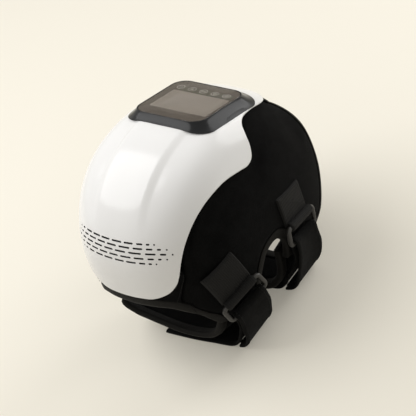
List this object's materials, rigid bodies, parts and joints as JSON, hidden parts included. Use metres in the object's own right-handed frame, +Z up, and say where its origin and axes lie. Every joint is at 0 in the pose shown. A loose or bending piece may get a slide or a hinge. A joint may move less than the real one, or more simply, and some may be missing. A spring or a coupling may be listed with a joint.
{
  "type": "heated knee massager",
  "caption": "Domed shell with a tilted display on padded wings and flaps that wrap the leg and fasten with straps through square rings.",
  "frame": {"origin": "centre of the bounding box's underside, level with the undersides of both straps", "axes": "+X towards the side where the straps fasten, +Y from the calf end to the thigh end, +Z up through the display"},
  "size_m": [0.17, 0.214, 0.2016],
  "materials": {
    "shell": "gloss white moulded plastic",
    "bezel": "gloss bluish black moulded plastic",
    "glass": "smoked display cover",
    "lcd": "unlit display panel",
    "board": "green circuit board",
    "cradle": "matt black moulded plastic",
    "battery": "blue shrink film",
    "steel": "satin steel",
    "pump": "matt dark plastic",
    "heater": "amber film",
    "bladder": "matt grey rubber",
    "plush": "short black plush",
    "tape": "smooth black edge tape",
    "webbing": "ribbed black webbing",
    "ring": "satin dark plastic",
    "strap": "brushed black loop fabric",
    "hook": "black hook tape"
  },
  "bodies": {
    "massager": {"outer_shell": "shell", "port_cover": "shell", "display_bezel": "bezel", "display_glass": "glass", "lcd_module": "lcd", "touch_key_board": "board", "main_board": "board", "inner_cradle": "cradle", "vent_screen": "cradle", "battery_pack": "battery", "near_vibration_motor": "steel", "far_vibration_motor": "steel", "charging_socket": "steel", "shell_screw_1": "steel", "shell_screw_2": "steel", "shell_screw_3": "steel", "shell_screw_4": "steel", "air_pump": "pump", "air_valve": "pump", "air_hose": "bladder", "air_bladder": "bladder", "heating_film": "heater", "knee_lining": "plush", "near_wing": "plush", "far_wing": "plush", "calf_flap": "plush", "thigh_flap": "plush", "near_wing_tape": "tape", "far_calf_edge_tape": "tape", "far_notch_tape": "tape", "far_thigh_edge_tape": "tape", "front_lip_tape": "tape", "back_lip_tape": "tape", "calf_flap_tape": "tape", "thigh_flap_tape": "tape", "calf_tab": "webbing", "thigh_tab": "webbing", "calf_strap_run": "strap", "calf_strap_riser": "strap", "thigh_strap_run": "strap", "thigh_strap_riser": "strap"},
    "calf_ring": {"calf_ring": "ring"},
    "thigh_ring": {"thigh_ring": "ring"},
    "calf_tail": {"calf_strap_tail": "strap", "calf_hook_patch": "hook"},
    "thigh_tail": {"thigh_strap_tail": "strap", "thigh_hook_patch": "hook"}
  },
  "joints": [
    {"name": "calf_ring_swing", "type": "hinge", "parent": "massager", "child": "calf_ring", "pos_m": [0.0728, -0.05618, 0.07259], "axis": [-0.331, -0.9031, -0.2737], "range_deg": [0, 30], "deforming": ["calf_strap_riser"]},
    {"name": "calf_tail_peel", "type": "hinge", "parent": "calf_ring", "child": "calf_tail", "pos_m": [0.07431, -0.05207, 0.0572], "axis": [-0.331, -0.9031, -0.2737], "range_deg": [0, 100]},
    {"name": "thigh_ring_swing", "type": "hinge", "parent": "massager", "child": "thigh_ring", "pos_m": [0.07729, 0.03623, 0.07544], "axis": [0.1243, -0.9645, 0.2332], "range_deg": [0, 30], "deforming": ["thigh_strap_riser"]},
    {"name": "thigh_tail_peel", "type": "hinge", "parent": "thigh_ring", "child": "thigh_tail", "pos_m": [0.07777, 0.03253, 0.05988], "axis": [0.1243, -0.9645, 0.2332], "range_deg": [0, 100]}
  ]
}
